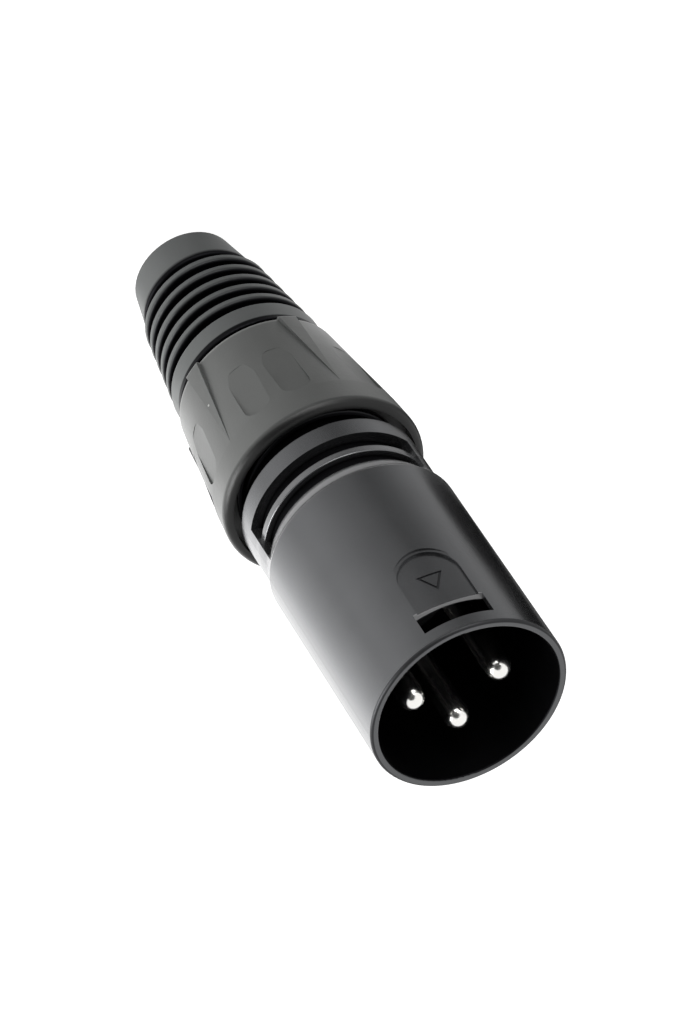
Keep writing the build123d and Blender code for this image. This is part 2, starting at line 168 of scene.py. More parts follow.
# cards that lie on the floor: name, bearing in degrees, distance from the axis, width, depth and level
CARD_HEIGHT = 0.0002
FLOOR_CARDS = (
    ("dark_card_right", 165.0, 0.09, 0.05, 0.08, 0.0),
    ("dark_card_near", 128.0, 0.038, 0.032, 0.02, 0.0),
    ("pale_card_base", 168.0, 0.018, 0.03, 0.016, 1.2),
)

# round cards that face the plug: name, place, radius and level
CARD_SIDES = 64
ROUND_CARDS = (
    ("lens_card", (0.0664, -0.1705, 0.2054), 0.14, 0.05),
    ("room_card", (0.2175, -0.119, 0.08), 0.085, 0.12),
)


# settings

class ShellFinish(bpy.types.PropertyGroup):
    """Finish of the die-cast housing"""

    colour: bpy.props.FloatVectorProperty(
        name="Lacquer", description="Colour of the satin black shell", subtype="COLOR",
        size=3, min=0.0, max=1.0, default=(0.125, 0.127, 0.131))
    # also the colour of the painted light on the finger grooves' lip and of the paler ridge
    bare_and_painted_light_colour: bpy.props.FloatVectorProperty(
        name="Bare Edge", description="Colour where the lacquer is rubbed thin", subtype="COLOR",
        size=3, min=0.0, max=1.0, default=(0.32, 0.32, 0.324))
    roughness: bpy.props.FloatProperty(
        name="Roughness", description="How matt the lacquer is", subtype="FACTOR",
        min=0.0, max=1.0, default=0.2)


class MouldedFinish(bpy.types.PropertyGroup):
    """Colours of the moulded pieces, and their dust"""

    nut_colour: bpy.props.FloatVectorProperty(
        name="Backshell", description="Colour of the screwed backshell", subtype="COLOR",
        size=3, min=0.0, max=1.0, default=(0.09, 0.093, 0.09))
    boot_colour: bpy.props.FloatVectorProperty(
        name="Boot", description="Colour of the rubber boot", subtype="COLOR",
        size=3, min=0.0, max=1.0, default=(0.093, 0.098, 0.097))
    carrier_colour: bpy.props.FloatVectorProperty(
        name="Pin Carrier", description="Colour of the moulded pin carrier", subtype="COLOR",
        size=3, min=0.0, max=1.0, default=(0.012, 0.012, 0.013))
    clamp_colour: bpy.props.FloatVectorProperty(
        name="Cable Clamp", description="Colour of the cable clamp's natural plastic", subtype="COLOR",
        size=3, min=0.0, max=1.0, default=(0.62, 0.6, 0.55))
    dust: bpy.props.FloatProperty(
        name="Dust", description="Share of the surface that carries a speck", subtype="FACTOR",
        min=0.0, max=1.0, default=0.05)


class ContactFinish(bpy.types.PropertyGroup):
    """Colours of the bare metal pieces"""

    pin_colour: bpy.props.FloatVectorProperty(
        name="Pins", description="Colour of the silver plating", subtype="COLOR",
        size=3, min=0.0, max=1.0, default=(0.93, 0.92, 0.89))
    strip_colour: bpy.props.FloatVectorProperty(
        name="Earth Strip", description="Colour of the rolled strip", subtype="COLOR",
        size=3, min=0.0, max=1.0, default=(0.7, 0.67, 0.6))


class ThreadSizes(bpy.types.PropertyGroup):
    """Sizes of the screw between the housing and the backshell"""

    pitch: bpy.props.FloatProperty(
        name="Pitch", description="How far the housing moves in one turn", subtype="DISTANCE", unit="LENGTH",
        min=0.0004, max=0.003, default=0.001)
    core_radius: bpy.props.FloatProperty(
        name="Core Radius", description="Radius of the housing's tail under the thread", subtype="DISTANCE",
        unit="LENGTH", min=0.001, max=0.05, default=0.00775)
    bore_radius: bpy.props.FloatProperty(
        name="Bore Radius", description="Radius of the backshell's bore round the thread", subtype="DISTANCE",
        unit="LENGTH", min=0.001, max=0.05, default=0.00815)
    depth: bpy.props.FloatProperty(
        name="Depth", description="Height of a ridge above its core or bore", subtype="DISTANCE",
        unit="LENGTH", min=0.0001, max=0.002, default=0.0003)
    turns: bpy.props.IntProperty(
        name="Turns", description="Whole turns of each thread", min=1, max=20, default=5)


class StudioSettings(bpy.types.PropertyGroup):
    """Camera and light"""

    camera_place: bpy.props.FloatVectorProperty(
        name="Camera", description="Where the camera stands", subtype="TRANSLATION", unit="LENGTH",
        size=3, default=(0.116777, -0.299512, 0.337073))
    camera_turn: bpy.props.FloatVectorProperty(
        name="Camera Turn", description="The camera's rotation about X, Y and Z", subtype="EULER",
        size=3, default=tuple(math.radians(a) for a in (-41.81507, -23.88050, 176.94057)))
    lens: bpy.props.FloatProperty(
        name="Lens", description="Focal length for a picture 36 mm on its long side", unit="CAMERA",
        min=10.0, max=500.0, default=168.369)
    ambient: bpy.props.FloatProperty(
        name="Ambient", description="Strength of the light that comes from all round",
        min=0.0, max=2.0, default=0.14)
    key_power: bpy.props.FloatProperty(
        name="Side Lamp", description="Power of the large lamp at the plug's bright side", subtype="POWER",
        unit="POWER", min=0.0, max=50.0, default=2.6)
    fill_power: bpy.props.FloatProperty(
        name="Front Lamp", description="Power of the lamp near the camera", subtype="POWER",
        unit="POWER", min=0.0, max=50.0, default=1.0)


# effects that more than one finish uses

def new_group(name, inputs, outputs):
    """Empty shader node group with named value and vector sockets, and its two end nodes."""
    tree = bpy.data.node_groups.new(name, "ShaderNodeTree")
    for label, kind, default in inputs:
        socket = tree.interface.new_socket(label, in_out="INPUT", socket_type=kind)
        if default is not None:
            socket.default_value = default
    for label in outputs:
        tree.interface.new_socket(label, in_out="OUTPUT", socket_type="NodeSocketFloat")
    return tree, tree.nodes.new("NodeGroupInput"), tree.nodes.new("NodeGroupOutput")


def feed(tree, value, socket):
    """Gives a socket its value, which is another socket or plain."""
    if isinstance(value, bpy.types.NodeSocket):
        tree.links.new(value, socket)
    else:
        socket.default_value = value


def math_node(tree, operation, *values):
    """Math node in a tree, whose values are sockets or plain numbers."""
    node = tree.nodes.new("ShaderNodeMath")
    node.operation = operation
    for value, socket in zip(values, node.inputs):
        feed(tree, value, socket)
    return node.outputs["Value"]


def noise_node(tree, vector, scale, detail, rough=0.5):
    """Noise texture in a tree, whose scale is a socket or a plain number."""
    node = tree.nodes.new("ShaderNodeTexNoise")
    node.inputs["Detail"].default_value = detail
    node.inputs["Roughness"].default_value = rough
    feed(tree, vector, node.inputs["Vector"])
    feed(tree, scale, node.inputs["Scale"])
    return node.outputs["Fac"]


def map_node(tree, value, low, high, to_low=0.0, to_high=1.0):
    """Map Range node from one span to another, with its result clamped."""
    node = tree.nodes.new("ShaderNodeMapRange")
    feed(tree, value, node.inputs["Value"])
    for label, number in (("From Min", low), ("From Max", high), ("To Min", to_low), ("To Max", to_high)):
        feed(tree, number, node.inputs[label])
    return node.outputs["Result"]


def split_axes(tree, vector):
    """The three coordinates of a vector."""
    split = tree.nodes.new("ShaderNodeSeparateXYZ")
    feed(tree, vector, split.inputs["Vector"])
    return split.outputs["X"], split.outputs["Y"], split.outputs["Z"]


def grain_group():
    """Fine grain of a moulded or lacquered skin, and slow changes of its tone."""
    tree, start, end = new_group(
        "fine_grain",
        [("Vector", "NodeSocketVector", None), ("Grain", "NodeSocketFloat", 4.0),
         ("Patch", "NodeSocketFloat", 0.25)],
        ["Height", "Tone"])
    vector = start.outputs["Vector"]
    coarse = noise_node(tree, vector, start.outputs["Grain"], detail=4.0, rough=0.6)
    fine_scale = math_node(tree, "MULTIPLY", start.outputs["Grain"], FINE_RATIO)
    fine = noise_node(tree, vector, fine_scale, detail=2.0)
    feed(tree, math_node(tree, "MULTIPLY_ADD", fine, FINE_SHARE, coarse), end.inputs["Height"])
    feed(tree, noise_node(tree, vector, start.outputs["Patch"], detail=2.0), end.inputs["Tone"])
    return tree


def speck_group():
    """Small scattered specks of dust, one at most in each cell of a pattern."""
    tree, start, end = new_group(
        "dust_specks",
        [("Vector", "NodeSocketVector", None), ("Density", "NodeSocketFloat", 1.0),
         ("Share", "NodeSocketFloat", 0.05), ("Size", "NodeSocketFloat", 0.12)],
        ["Mask"])
    cells = tree.nodes.new("ShaderNodeTexVoronoi")
    feed(tree, start.outputs["Vector"], cells.inputs["Vector"])
    feed(tree, start.outputs["Density"], cells.inputs["Scale"])
    split = tree.nodes.new("ShaderNodeSeparateColor")
    feed(tree, cells.outputs["Color"], split.inputs["Color"])
    chosen = math_node(tree, "LESS_THAN", split.outputs["Red"], start.outputs["Share"])
    size = math_node(tree, "MULTIPLY", start.outputs["Size"], split.outputs["Green"])
    near = math_node(tree, "LESS_THAN", cells.outputs["Distance"], size)
    feed(tree, math_node(tree, "MULTIPLY", chosen, near), end.inputs["Mask"])
    return tree


def band_group():
    """Ring at one height along the axis, with a ragged edge, for the wear and the painted light there."""
    tree, start, end = new_group(
        "ring_band",
        [("Vector", "NodeSocketVector", None), ("Level", "NodeSocketFloat", 0.0),
         ("Width", "NodeSocketFloat", 0.5), ("Ragged", "NodeSocketFloat", 0.5)],
        ["Mask"])
    vector = start.outputs["Vector"]
    height = split_axes(tree, vector)[2]
    off = math_node(tree, "ABSOLUTE", math_node(tree, "SUBTRACT", height, start.outputs["Level"]))
    share = math_node(tree, "DIVIDE", off, start.outputs["Width"])
    ragged = noise_node(tree, vector, RAGGED_SCALE, detail=4.0, rough=0.65)
    ragged = math_node(tree, "SUBTRACT", ragged, 0.5)
    share = math_node(tree, "MULTIPLY_ADD", ragged, start.outputs["Ragged"], share)
    feed(tree, map_node(tree, share, *RING_EDGE), end.inputs["Mask"])
    return tree


def streak_group():
    """Fine lines along or round the axis, as sliding and turning leave them."""
    tree, start, end = new_group(
        "fine_streaks",
        [("Vector", "NodeSocketVector", None), ("Stretch", "NodeSocketVector", (1.0, 1.0, 0.05)),
         ("Fineness", "NodeSocketFloat", 3.0)],
        ["Streak"])
    stretch = tree.nodes.new("ShaderNodeVectorMath")
    stretch.operation = "MULTIPLY"
    feed(tree, start.outputs["Vector"], stretch.inputs[0])
    feed(tree, start.outputs["Stretch"], stretch.inputs[1])
    lines = noise_node(tree, stretch.outputs["Vector"], start.outputs["Fineness"], detail=3.0, rough=0.6)
    feed(tree, lines, end.inputs["Streak"])
    return tree


def opaque(colour):
    """A colour of three values with full cover."""
    return [*colour, 1.0]


class Finish:
    """One material with its shader and its coordinates in millimetres, and short calls that add to it."""

    def __init__(self, name, **plain):
        self.material = bpy.data.materials.new(name)
        self.material.use_nodes = True
        self.tree = self.material.node_tree
        self.shader = self.tree.nodes["Principled BSDF"]
        for label, value in plain.items():
            self.shader.inputs[label.replace("_", " ")].default_value = value
        place = self.tree.nodes.new("ShaderNodeTexCoord")
        scale = self.tree.nodes.new("ShaderNodeMapping")
        scale.inputs["Scale"].default_value = (1 / MM, 1 / MM, 1 / MM)
        feed(self.tree, place.outputs["Object"], scale.inputs["Vector"])
        self.vector = scale.outputs["Vector"]

    def effect(self, name, maker, **values):
        """A shared effect placed in this material with its own values, and made when first asked for."""
        node = self.tree.nodes.new("ShaderNodeGroup")
        node.node_tree = bpy.data.node_groups.get(name) or maker()
        feed(self.tree, self.vector, node.inputs["Vector"])
        for label, value in values.items():
            node.inputs[label].default_value = value
        return node.outputs

    def math(self, operation, *values):
        """Result of one sum on sockets or plain numbers."""
        return math_node(self.tree, operation, *values)

    def all_of(self, *masks):
        """Where all the masks are."""
        both = masks[0]
        for mask in masks[1:]:
            both = self.math("MULTIPLY", both, mask)
        return both

    def any_of(self, *masks):
        """Where any of the masks is."""
        either = masks[0]
        for mask in masks[1:]:
            either = self.math("MAXIMUM", either, mask)
        return either

    def ramp(self, value, span, to_low=0.0, to_high=1.0):
        """A value that runs between two others while the first one crosses a span."""
        return map_node(self.tree, value, *span, to_low, to_high)

    def axes(self):
        """The three coordinates in millimetres."""
        return split_axes(self.tree, self.vector)

    def distance(self, across, along):
        """Length of a line with these two sides."""
        return self.math("SQRT", self.math("MULTIPLY_ADD", across, across, self.math("MULTIPLY", along, along)))

    def mix(self, factor, first, second):
        """Colour between two, each a socket or a plain colour."""
        node = self.tree.nodes.new("ShaderNodeMix")
        node.data_type = "RGBA"
        feed(self.tree, factor, node.inputs["Factor"])
        for label, colour in (("A", first), ("B", second)):
            feed(self.tree, colour, next(s for s in node.inputs if s.name == label and s.type == "RGBA"))
        return next(s for s in node.outputs if s.type == "RGBA")

    def tone(self, colour, spread, factor):
        """A colour that runs from a little darker to a little lighter by a factor."""
        dark = opaque(c * (1 - spread) for c in colour)
        light = opaque(min(1.0, c * (1 + spread)) for c in colour)
        return self.mix(factor, dark, light)

    def rough(self, pattern, smooth, matt):
        """Roughness that changes between two values with a noise."""
        self.set("Roughness", self.ramp(pattern, NOISE_SPAN, smooth, matt))

    def bump(self, height, distance):
        """Relief of the surface from a height of 0 to 1, distance metres high."""
        node = self.tree.nodes.new("ShaderNodeBump")
        node.inputs["Distance"].default_value = distance
        feed(self.tree, height, node.inputs["Height"])
        self.set("Normal", node.outputs["Normal"])

    def set(self, label, socket):
        """Feeds one of the shader's sockets."""
        feed(self.tree, socket, self.shader.inputs[label])


def dress(node, material):
    """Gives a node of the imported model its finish."""
    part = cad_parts[node]
    part.data.materials.clear()
    part.data.materials.append(material)


# housing

def shell_material(settings):
    """Thin satin black lacquer over cast metal, with painted light and wear where it is paler, and painted
    shade at its edge and inside.
    """
    skin = Finish("satin_black_shell", Metallic=LACQUER_METAL)
    grain = skin.effect("fine_grain", grain_group, Grain=3.4, Patch=0.16)
    streaks = skin.effect("fine_streaks", streak_group, Stretch=(1.0, 1.0, 0.06), Fineness=1.6)
    wear_and_painted_light = shell_wear_and_painted_light(skin)
    painted_shade = shell_painted_shade(skin)
    base = skin.tone(settings.colour, spread=0.09, factor=grain["Tone"])
    # wear and a painted highlight behind the slot, painted light on the grooves' lip, and a paler ridge: paler
    # and less metallic, so that the lamps light them
    base = skin.mix(wear_and_painted_light, base, opaque(settings.bare_and_painted_light_colour))
    # painted shade: the colour goes to black and the metal to full in the hollows and at the rim's edge, so
    # that they mirror nothing
    skin.set("Base Color", skin.mix(painted_shade, base, SHADE_BLACK))
    metal = skin.math("MULTIPLY_ADD", wear_and_painted_light, WEAR_AND_PAINTED_LIGHT_METAL - LACQUER_METAL, LACQUER_METAL)
    skin.set("Metallic", skin.math("MAXIMUM", painted_shade, metal))
    worn = skin.math("MULTIPLY_ADD", streaks["Streak"], STREAK_ROUGH, settings.roughness - STREAK_ROUGH / 2)
    worn = skin.math("MULTIPLY_ADD", painted_shade, SHADE_ROUGH, worn)
    skin.set("Roughness", skin.math("MULTIPLY_ADD", grain["Tone"], PATCH_ROUGH, worn))
    skin.bump(grain["Height"], distance=0.0005 * MM)
    return skin.material


def shell_wear_and_painted_light(skin):
    """Share of paler, less metallic lacquer: painted light on the finger grooves' lip, a paler ridge, and wear
    with a painted highlight behind the slot.
    """
    lip = skin.effect("ring_band", band_group, Level=GROOVE_LIP, Width=1.0, Ragged=0.2)
    ridge = skin.effect("ring_band", band_group, Level=RIDGE, Width=0.5, Ragged=0.2)
    slot = skin.effect("ring_band", band_group, Level=SLOT_REAR, Width=0.12, Ragged=0.8)
    x, y, _ = skin.axes()
    beside = skin.math("LESS_THAN", skin.math("ABSOLUTE", x), SLOT_HALF)
    front = skin.math("LESS_THAN", y, 0.0)
    cut = skin.all_of(slot["Mask"], beside, front, SLOT_WEAR_AND_HIGHLIGHT)
    return skin.any_of(lip["Mask"], skin.math("MULTIPLY", ridge["Mask"], RIDGE_PALER), cut)


def shell_painted_shade(skin):
    """Share of painted shade in black: at the rim's outer edge and faintly on its face, in the cavity, on the
    grooves' floors and all nearer the axis, and in the engraved mark.
    """
    x, y, height = skin.axes()
    radius = skin.distance(x, y)
    edge = skin.all_of(skin.ramp(radius, RIM_EDGE, to_high=RIM_EDGE_SHADE), skin.ramp(height, RIM_SIDE))
    face = skin.ramp(height, RIM_FACE, to_high=RIM_FACE_SHADE)
    cavity = skin.all_of(skin.ramp(radius, CAVITY_WALL), skin.math("GREATER_THAN", height, CAVITY_END))
    floors = skin.ramp(radius, GROOVE_FLOORS)
    from_middle = skin.distance(x, skin.math("SUBTRACT", y, RECESS_MIDDLE))
    mark = skin.all_of(
        skin.ramp(from_middle, MARK_LINE),
        skin.math("LESS_THAN", skin.math("ABSOLUTE", x), MARK_HALF),
        skin.math("LESS_THAN", y, 0.0),
        skin.math("LESS_THAN", height, MARK_TOP),
        skin.math("GREATER_THAN", height, MARK_END),
        MARK_SHADE)
    return skin.any_of(edge, face, cavity, floors, mark)


class PLUG_OT_finish_housing(bpy.types.Operator):
    """Give the die-cast housing its satin black lacquer"""

    bl_idname = "plug.finish_housing"
    bl_label = "Finish Housing"

    def execute(self, context):
        dress("housing", shell_material(context.scene.plug_shell))
        return {"FINISHED"}


# moulded pieces

def nut_material(settings):
    """Matt moulded plastic of the backshell, with a fine grain, a few specks, painted shade in its mouth and
    bore, and a painted highlight along its back edge.
    """
    skin = Finish("moulded_black_nut")
    grain = skin.effect("fine_grain", grain_group, Grain=2.6, Patch=0.22)
    specks = skin.effect("dust_specks", speck_group, Density=0.55, Share=settings.dust, Size=0.1)
    x, y, height = skin.axes()
    mouth = skin.ramp(height, NUT_MOUTH, to_high=NUT_MOUTH_SHADE)
    rear = skin.ramp(height, NUT_REAR_EDGE, to_high=NUT_REAR_HIGHLIGHT)
    # painted shade: the mouth and the bore go dark and fully metallic, so that they mirror nothing
    shaded = skin.any_of(mouth, skin.ramp(skin.distance(x, y), NUT_INSIDE))
    base = skin.tone(settings.nut_colour, spread=0.08, factor=grain["Tone"])
    # dust specks, and a painted highlight along the back edge in the same pale grey
    base = skin.mix(skin.any_of(specks["Mask"], rear), base, NUT_SPECK_AND_HIGHLIGHT)
    skin.set("Base Color", skin.mix(shaded, base, NUT_SHADE))
    skin.set("Metallic", shaded)
    skin.rough(grain["Tone"], smooth=0.36, matt=0.44)
    skin.bump(grain["Height"], distance=0.012 * MM)
    return skin.material


def plain_moulding(name, colour, spread, roughness, relief, **grain_sizes):
    """Moulded plastic of one colour with a fine grain."""
    skin = Finish(name)
    grain = skin.effect("fine_grain", grain_group, **grain_sizes)
    skin.set("Base Color", skin.tone(colour, spread, grain["Tone"]))
    skin.rough(grain["Tone"], *roughness)
    skin.bump(grain["Height"], relief)
    return skin.material


def carrier_material(settings):
    """Dark moulded plastic that holds the pins."""
    return plain_moulding("moulded_pin_carrier", settings.carrier_colour, spread=0.15, roughness=(0.5, 0.62),
                          relief=0.008 * MM, Grain=3.0, Patch=0.3)


def clamp_material(settings):
    """Natural plastic of the cable clamp, a little waxy."""
    return plain_moulding("moulded_cable_clamp", settings.clamp_colour, spread=0.05, roughness=(0.38, 0.48),
                          relief=0.006 * MM, Grain=1.8, Patch=0.2)


class PLUG_OT_finish_mouldings(bpy.types.Operator):
    """Give the backshell, the pin carrier and the cable clamp their moulded plastics"""

    bl_idname = "plug.finish_mouldings"
    bl_label = "Finish Mouldings"

    def execute(self, context):
        settings = context.scene.plug_moulded
        dress("backshell", nut_material(settings))
        dress("insert", carrier_material(settings))
        dress("cable_clamp", clamp_material(settings))
        return {"FINISHED"}


# boot

def boot_material(settings):
    """Matt rubber with a few specks, and painted shade in black between its ribs and in the seam before the
    backshell.
    """
    skin = Finish("matt_rubber_boot", Specular_IOR_Level=0.45)
    grain = skin.effect("fine_grain", grain_group, Grain=2.1, Patch=0.3)
    specks = skin.effect("dust_specks", speck_group, Density=0.7, Share=settings.dust, Size=0.09)
    base = skin.tone(settings.boot_colour, spread=0.1, factor=grain["Tone"])
    base = skin.mix(specks["Mask"], base, BOOT_SPECK)
    height = skin.axes()[2]
    ribs = skin.math("FRACT", skin.math("DIVIDE", skin.math("SUBTRACT", height, FIRST_RIB), RIB_PITCH))
    fall_and_rise = skin.math("MINIMUM", skin.ramp(ribs, RIB_FALL), skin.ramp(ribs, RIB_RISE))
    before_ribs = skin.math("LESS_THAN", height, FIRST_RIB)
    between = skin.all_of(skin.ramp(height, CAP_EDGE), skin.math("LESS_THAN", height, COLLAR))
    grooves = skin.all_of(skin.any_of(fall_and_rise, before_ribs), between)
    # painted shade: black and fully metallic in the grooves and the seam, so that they mirror nothing
    deep = skin.any_of(grooves, skin.ramp(height, SEAM))
    skin.set("Base Color", skin.mix(deep, base, SHADE_BLACK))
    skin.set("Metallic", deep)
    skin.rough(grain["Tone"], smooth=0.42, matt=0.52)
    skin.bump(grain["Height"], distance=0.01 * MM)
    return skin.material


class PLUG_OT_finish_boot(bpy.types.Operator):
    """Give the boot its matt rubber"""

    bl_idname = "plug.finish_boot"
    bl_label = "Finish Boot"

    def execute(self, context):
        dress("boot", boot_material(context.scene.plug_moulded))
        return {"FINISHED"}


# contacts

def lined_metal(name, colour, spread, grain_sizes, line_sizes, roughness, relief):
    """Bare metal with fine lines of its making."""
    skin = Finish(name, Metallic=1.0)
    grain = skin.effect("fine_grain", grain_group, **grain_sizes)
    lines = skin.effect("fine_streaks", streak_group, **line_sizes)
    skin.set("Base Color", skin.tone(colour, spread, grain["Tone"]))
    skin.rough(lines["Streak"], *roughness)
    skin.bump(lines["Streak"], relief)
    return skin.material


def pin_material(settings):
    """Bright plating with faint turning lines round the pins."""
    return lined_metal("plated_pin", settings.pin_colour, spread=0.05, grain_sizes={"Grain": 1.5, "Patch": 0.6},
                       line_sizes={"Stretch": (0.1, 0.1, 4.0), "Fineness": 2.5}, roughness=(0.17, 0.25),
                       relief=0.0015 * MM)


def strip_material(settings):
    """Rolled strip with fine lines along its length."""
    return lined_metal("rolled_earth_strip", settings.strip_colour, spread=0.08,
                       grain_sizes={"Grain": 2.0, "Patch": 0.8},
                       line_sizes={"Stretch": (4.0, 1.0, 0.1), "Fineness": 2.5}, roughness=(0.22, 0.36),
                       relief=0.003 * MM)


class PLUG_OT_finish_contacts(bpy.types.Operator):
    """Give the pins their plating and the earth strip its rolled metal"""

    bl_idname = "plug.finish_contacts"
    bl_label = "Finish Contacts"

    def execute(self, context):
        settings = context.scene.plug_contacts
        plated = pin_material(settings)
        for node in ("pin_1", "pin_2", "pin_3"):
            dress(node, plated)
        dress("ground_contact", strip_material(settings))
        return {"FINISHED"}


# threads

def new_piece(name):
    """The object that a primitive operator has just added, under its own name."""
    piece = bpy.context.active_object
    piece.name = name
    piece.data.name = name
    return piece


def thread_ridge(name, root_radius, crest_radius, bottom, pitch, turns):
    """One ridge wound round the axis, from its root, which is sunk in the wall, to its narrow crest."""
    sunk = math.copysign(ROOT_SUNK, crest_radius - root_radius)
    outline = {False: (root_radius - sunk, ROOT_HALF), True: (crest_radius, CREST_HALF)}
    bpy.ops.object.select_all(action="DESELECT")
    bpy.ops.mesh.primitive_plane_add(size=1.0, rotation=(math.pi / 2, 0, 0))
    piece = new_piece(name)
    bpy.ops.object.transform_apply(location=True, rotation=True, scale=True)
    for vertex in piece.data.vertices:
        radius, half = outline[vertex.co.x > 0]
        vertex.co = (radius, 0.0, bottom + math.copysign(half, vertex.co.z) * pitch)
    bpy.ops.object.mode_set(mode="EDIT")
    bpy.ops.mesh.select_all(action="SELECT")
    bpy.ops.mesh.delete(type="ONLY_FACE")
    bpy.ops.object.mode_set(mode="OBJECT")
    winding = piece.modifiers.new("winding", "SCREW")
    winding.axis = "Z"
    winding.angle = 2 * math.pi
    winding.screw_offset = pitch
    winding.iterations = turns
    winding.steps = THREAD_STEPS
    winding.render_steps = THREAD_STEPS
    winding.use_smooth_shade = True
    bpy.ops.object.modifier_apply(modifier=winding.name)
    run_out(piece, root_radius, bottom, pitch, turns)
    bpy.ops.object.mode_set(mode="EDIT")
    bpy.ops.mesh.select_all(action="DESELECT")
    bpy.ops.mesh.select_mode(type="EDGE")
    bpy.ops.mesh.select_non_manifold()
    bpy.ops.mesh.fill_holes(sides=4)
    bpy.ops.mesh.select_all(action="SELECT")
    bpy.ops.mesh.normals_make_consistent(inside=False)
    bpy.ops.object.mode_set(mode="OBJECT")
    bpy.ops.object.shade_smooth_by_angle(angle=THREAD_CORNER)
    return piece


def run_out(piece, root_radius, bottom, pitch, turns):
    """Lets the crest sink into the wall at both ends of a ridge."""
    fade = pitch * RUN_OUT
    top = bottom + turns * pitch
    for vertex in piece.data.vertices:
        radius = math.hypot(vertex.co.x, vertex.co.y)
        if abs(radius - root_radius) <= CREST_APART:
            continue
        turned = math.atan2(vertex.co.y, vertex.co.x) % (2 * math.pi) / (2 * math.pi)
        wound = round((vertex.co.z - bottom) / pitch - turned)
        middle = bottom + (wound + turned) * pitch
        share = min(1.0, max(0.0, min(middle - bottom, top - middle) / fade))
        faded = root_radius + (radius - root_radius) * share
        vertex.co.x *= faded / radius
        vertex.co.y *= faded / radius


class PLUG_OT_cut_threads(bpy.types.Operator):
    """Wind the thread on the housing's tail and the one in the backshell's bore"""

    bl_idname = "plug.cut_threads"
    bl_label = "Cut Threads"

    def execute(self, context):
        sizes = context.scene.plug_thread
        start = THREAD_END + THREAD_LEAD * sizes.pitch
        male = thread_ridge("housing_thread", sizes.core_radius, sizes.core_radius + sizes.depth,
                            start, sizes.pitch, sizes.turns)
        male.data.materials.append(bpy.data.materials["satin_black_shell"])
        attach(male, "housing")
        # the ridge in the bore lies half a pitch beside the housing's, so that the two mesh
        lowest = NUT_FRONT - PLAIN_LIP - sizes.turns * sizes.pitch
        between = start + (math.floor((lowest - start) / sizes.pitch) + 0.5) * sizes.pitch
        female = thread_ridge("backshell_thread", sizes.bore_radius,
                              sizes.bore_radius - sizes.depth + THREAD_PLAY,
                              between, sizes.pitch, sizes.turns)
        female.data.materials.append(bpy.data.materials["moulded_black_nut"])
        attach(female, "backshell")
        return {"FINISHED"}


# studio

def seen_rays(tree):
    """1 for rays from the camera, reflections and clear things, and 0 for those that carry soft light."""
    path = tree.nodes.new("ShaderNodeLightPath")
    seen = math_node(tree, "MAXIMUM", path.outputs["Is Camera Ray"], path.outputs["Is Glossy Ray"])
    return math_node(tree, "MAXIMUM", seen, path.outputs["Is Transmission Ray"])


def glowing_material(name):
    """Material with nothing but a white glow, and its node tree, its glow and its end node."""
    material = bpy.data.materials.new(name)
    material.use_nodes = True
    tree = material.node_tree
    tree.nodes.clear()
    glow = tree.nodes.new("ShaderNodeEmission")
    end = tree.nodes.new("ShaderNodeOutputMaterial")
    tree.links.new(glow.outputs["Emission"], end.inputs["Surface"])
    return material, tree, glow, end


def paper_material(name, grey, strength):
    """Plain surface of the floor: lit as paper is, with a little glow of its own that only the
    camera, reflections and clear things see, so that it shows white and keeps the shadow."""
    material, tree, glow, end = glowing_material(name)
    paper = tree.nodes.new("ShaderNodeBsdfDiffuse")
    paper.inputs["Color"].default_value = opaque((grey, grey, grey))
    feed(tree, math_node(tree, "MULTIPLY", seen_rays(tree), strength), glow.inputs["Strength"])
    both = tree.nodes.new("ShaderNodeAddShader")
    tree.links.new(paper.outputs["BSDF"], both.inputs[0])
    tree.links.new(glow.outputs["Emission"], both.inputs[1])
    tree.links.new(both.outputs["Shader"], end.inputs["Surface"])
    return material


def card_material(name, level):
    """One grey that gives the same tone in every reflection."""
    material, _, glow, _ = glowing_material(name)
    glow.inputs["Strength"].default_value = level
    return material


def bearing_material(name, levels):
    """Glow that changes with the bearing round the Z axis, as a list of bearings and levels says."""
    material, tree, glow, _ = glowing_material(name)
    place = tree.nodes.new("ShaderNodeTexCoord")
    x, y, _ = split_axes(tree, place.outputs["Object"])
    turned = math_node(tree, "ARCTAN2", y, x)
    ramp = tree.nodes.new("ShaderNodeValToRGB")
    feed(tree, map_node(tree, turned, -math.pi, math.pi), ramp.inputs["Fac"])
    bearings, greys = zip(*levels)
    stops = ramp.color_ramp.elements
    for bearing in bearings[1:-1]:
        stops.new((bearing + 180.0) / 360.0)
    for stop, grey in zip(stops, greys):
        stop.color = opaque([grey / LEVEL_TOP] * 3)
    feed(tree, ramp.outputs["Color"], glow.inputs["Color"])
    glow.inputs["Strength"].default_value = LEVEL_TOP
    return material


def white_world(ambient):
    """Plain soft light from all round, which the camera and reflections see as white."""
    world = bpy.data.worlds.new("studio")
    bpy.context.scene.world = world
    world.use_nodes = True
    tree = world.node_tree
    back = tree.nodes["Background"]
    back.inputs["Color"].default_value = WHITE
    feed(tree, map_node(tree, seen_rays(tree), 0.0, 1.0, ambient, 1.0), back.inputs["Strength"])


def set_card(name, material, scale=(1.0, 1.0, 1.0)):
    """Makes the primitive just added a card of the stage that only reflections see."""
    card = new_piece(name)
    card.scale = scale
    bpy.ops.object.transform_apply(location=True, rotation=True, scale=True)
    card.data.materials.append(material)
    card.visible_camera = False
    card.visible_diffuse = False
    card.visible_shadow = False


def floor_card(name, bearing, distance, wide, deep, level):
    """Oblong card that lies on the floor."""
    angle = math.radians(bearing)
    bpy.ops.object.select_all(action="DESELECT")
    bpy.ops.mesh.primitive_plane_add(
        size=1.0, location=(distance * math.cos(angle), distance * math.sin(angle), CARD_HEIGHT),
        rotation=(0, 0, angle))
    set_card(name, card_material(name + "_grey", level), scale=(deep, wide, 1.0))


